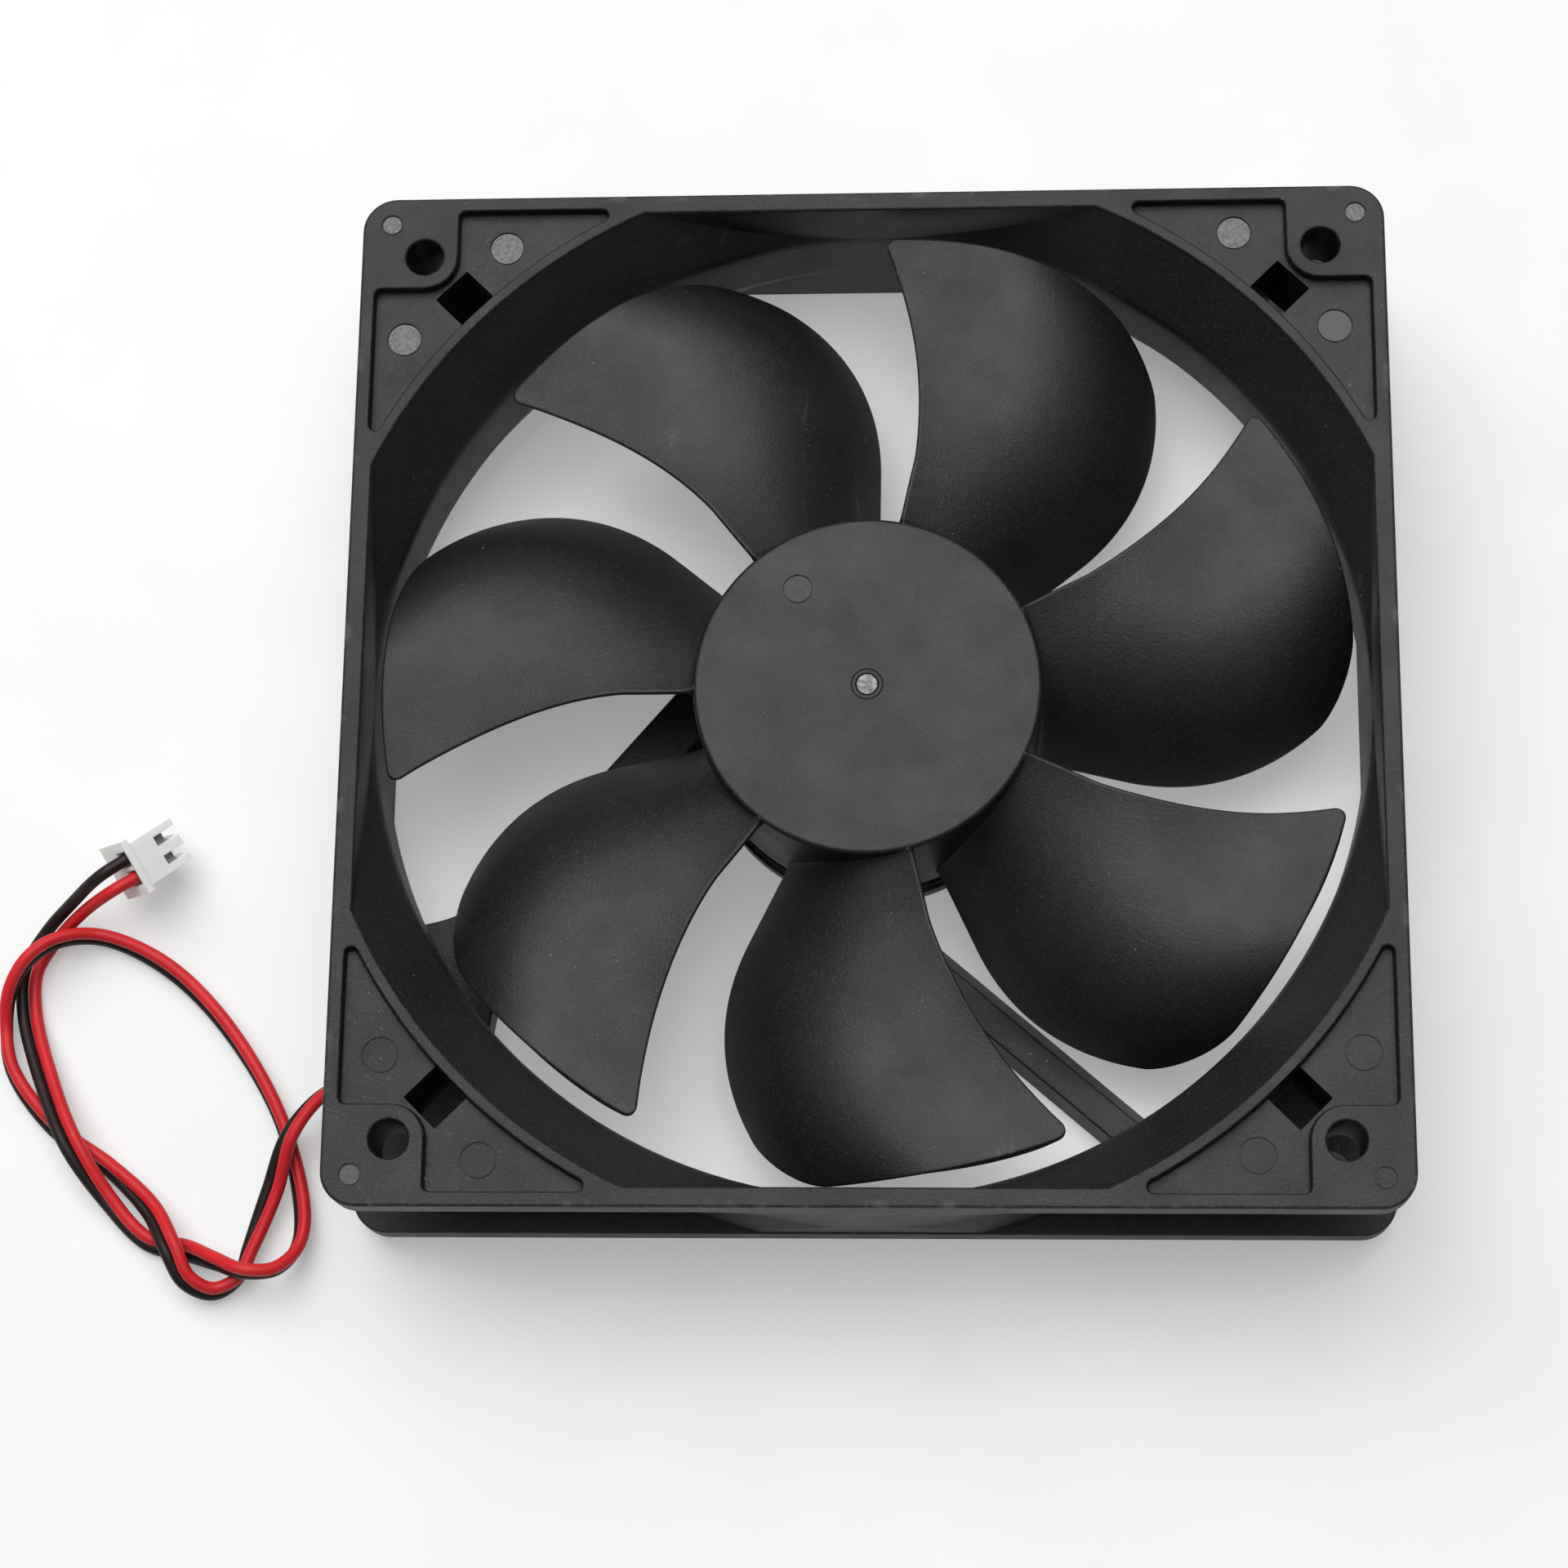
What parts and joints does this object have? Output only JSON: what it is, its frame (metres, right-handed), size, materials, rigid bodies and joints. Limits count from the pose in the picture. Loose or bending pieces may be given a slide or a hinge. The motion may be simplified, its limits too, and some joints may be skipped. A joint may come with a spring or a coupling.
{
  "type": "case fan",
  "caption": "Square axial cooling fan: a moulded frame with a ducted, swept-blade impeller on a brushless hub motor, and a short two-wire lead with a plug.",
  "frame": {"origin": "centre of the frame's rear face, on the spin axis", "axes": "+Z is the spin axis and points to the intake side, where the impeller's face shows; +X and +Y are the frame's sides; the lead leaves at -X"},
  "size_m": [0.1637, 0.1275, 0.025],
  "materials": {
    "frame_plastic": "fine moulded grain, matt black",
    "impeller_plastic": "smooth moulded, satin black",
    "label": "satin blank foil sticker",
    "rubber_plug": "matt",
    "brass": "turned",
    "bronze": "sintered, oil filled",
    "nylon": "moulded",
    "felt": "oil-soaked felt",
    "lamination": "stamped sheets",
    "copper": "enamelled copper wire",
    "tin": "tinned",
    "board": "solder mask",
    "chip": "moulded package",
    "ceramic": "sintered",
    "red_insulation": "smooth PVC",
    "black_insulation": "smooth PVC",
    "white_plastic": "moulded nylon",
    "yoke_steel": "zinc plated",
    "ferrite": "bonded ferrite",
    "shaft_steel": "ground"
  },
  "bodies": {
    "frame": {"frame_housing": "frame_plastic", "rear_label": "label", "rubber_plug": "rubber_plug", "bearing_tube": "brass", "sleeve_bearing": "bronze", "lower_washer": "nylon", "upper_washer": "nylon", "oil_seal_ring": "felt", "stator_core": "lamination", "lower_insulator": "nylon", "upper_insulator": "nylon", "winding_coil_1": "copper", "winding_coil_2": "copper", "winding_coil_3": "copper", "winding_coil_4": "copper", "winding_post_1": "tin", "winding_post_2": "tin", "winding_post_3": "tin", "circuit_board": "board", "driver_chip": "chip", "filter_capacitor": "ceramic", "protection_diode": "chip", "red_lead_held": "red_insulation", "black_lead_held": "black_insulation", "red_lead": "red_insulation", "black_lead": "black_insulation", "connector_housing": "white_plastic", "crimp_contact_black": "tin", "crimp_contact_red": "tin"},
    "rotor": {"impeller": "impeller_plastic", "rotor_yoke": "yoke_steel", "ring_magnet": "ferrite", "rotor_shaft": "shaft_steel", "shaft_boss": "brass", "snap_ring": "shaft_steel"}
  },
  "joints": [
    {"name": "rotor_spin", "type": "hinge", "parent": "frame", "child": "rotor", "pos_m": [0, 0, 0.0125], "axis": [0, 0, 1], "continuous": true}
  ]
}
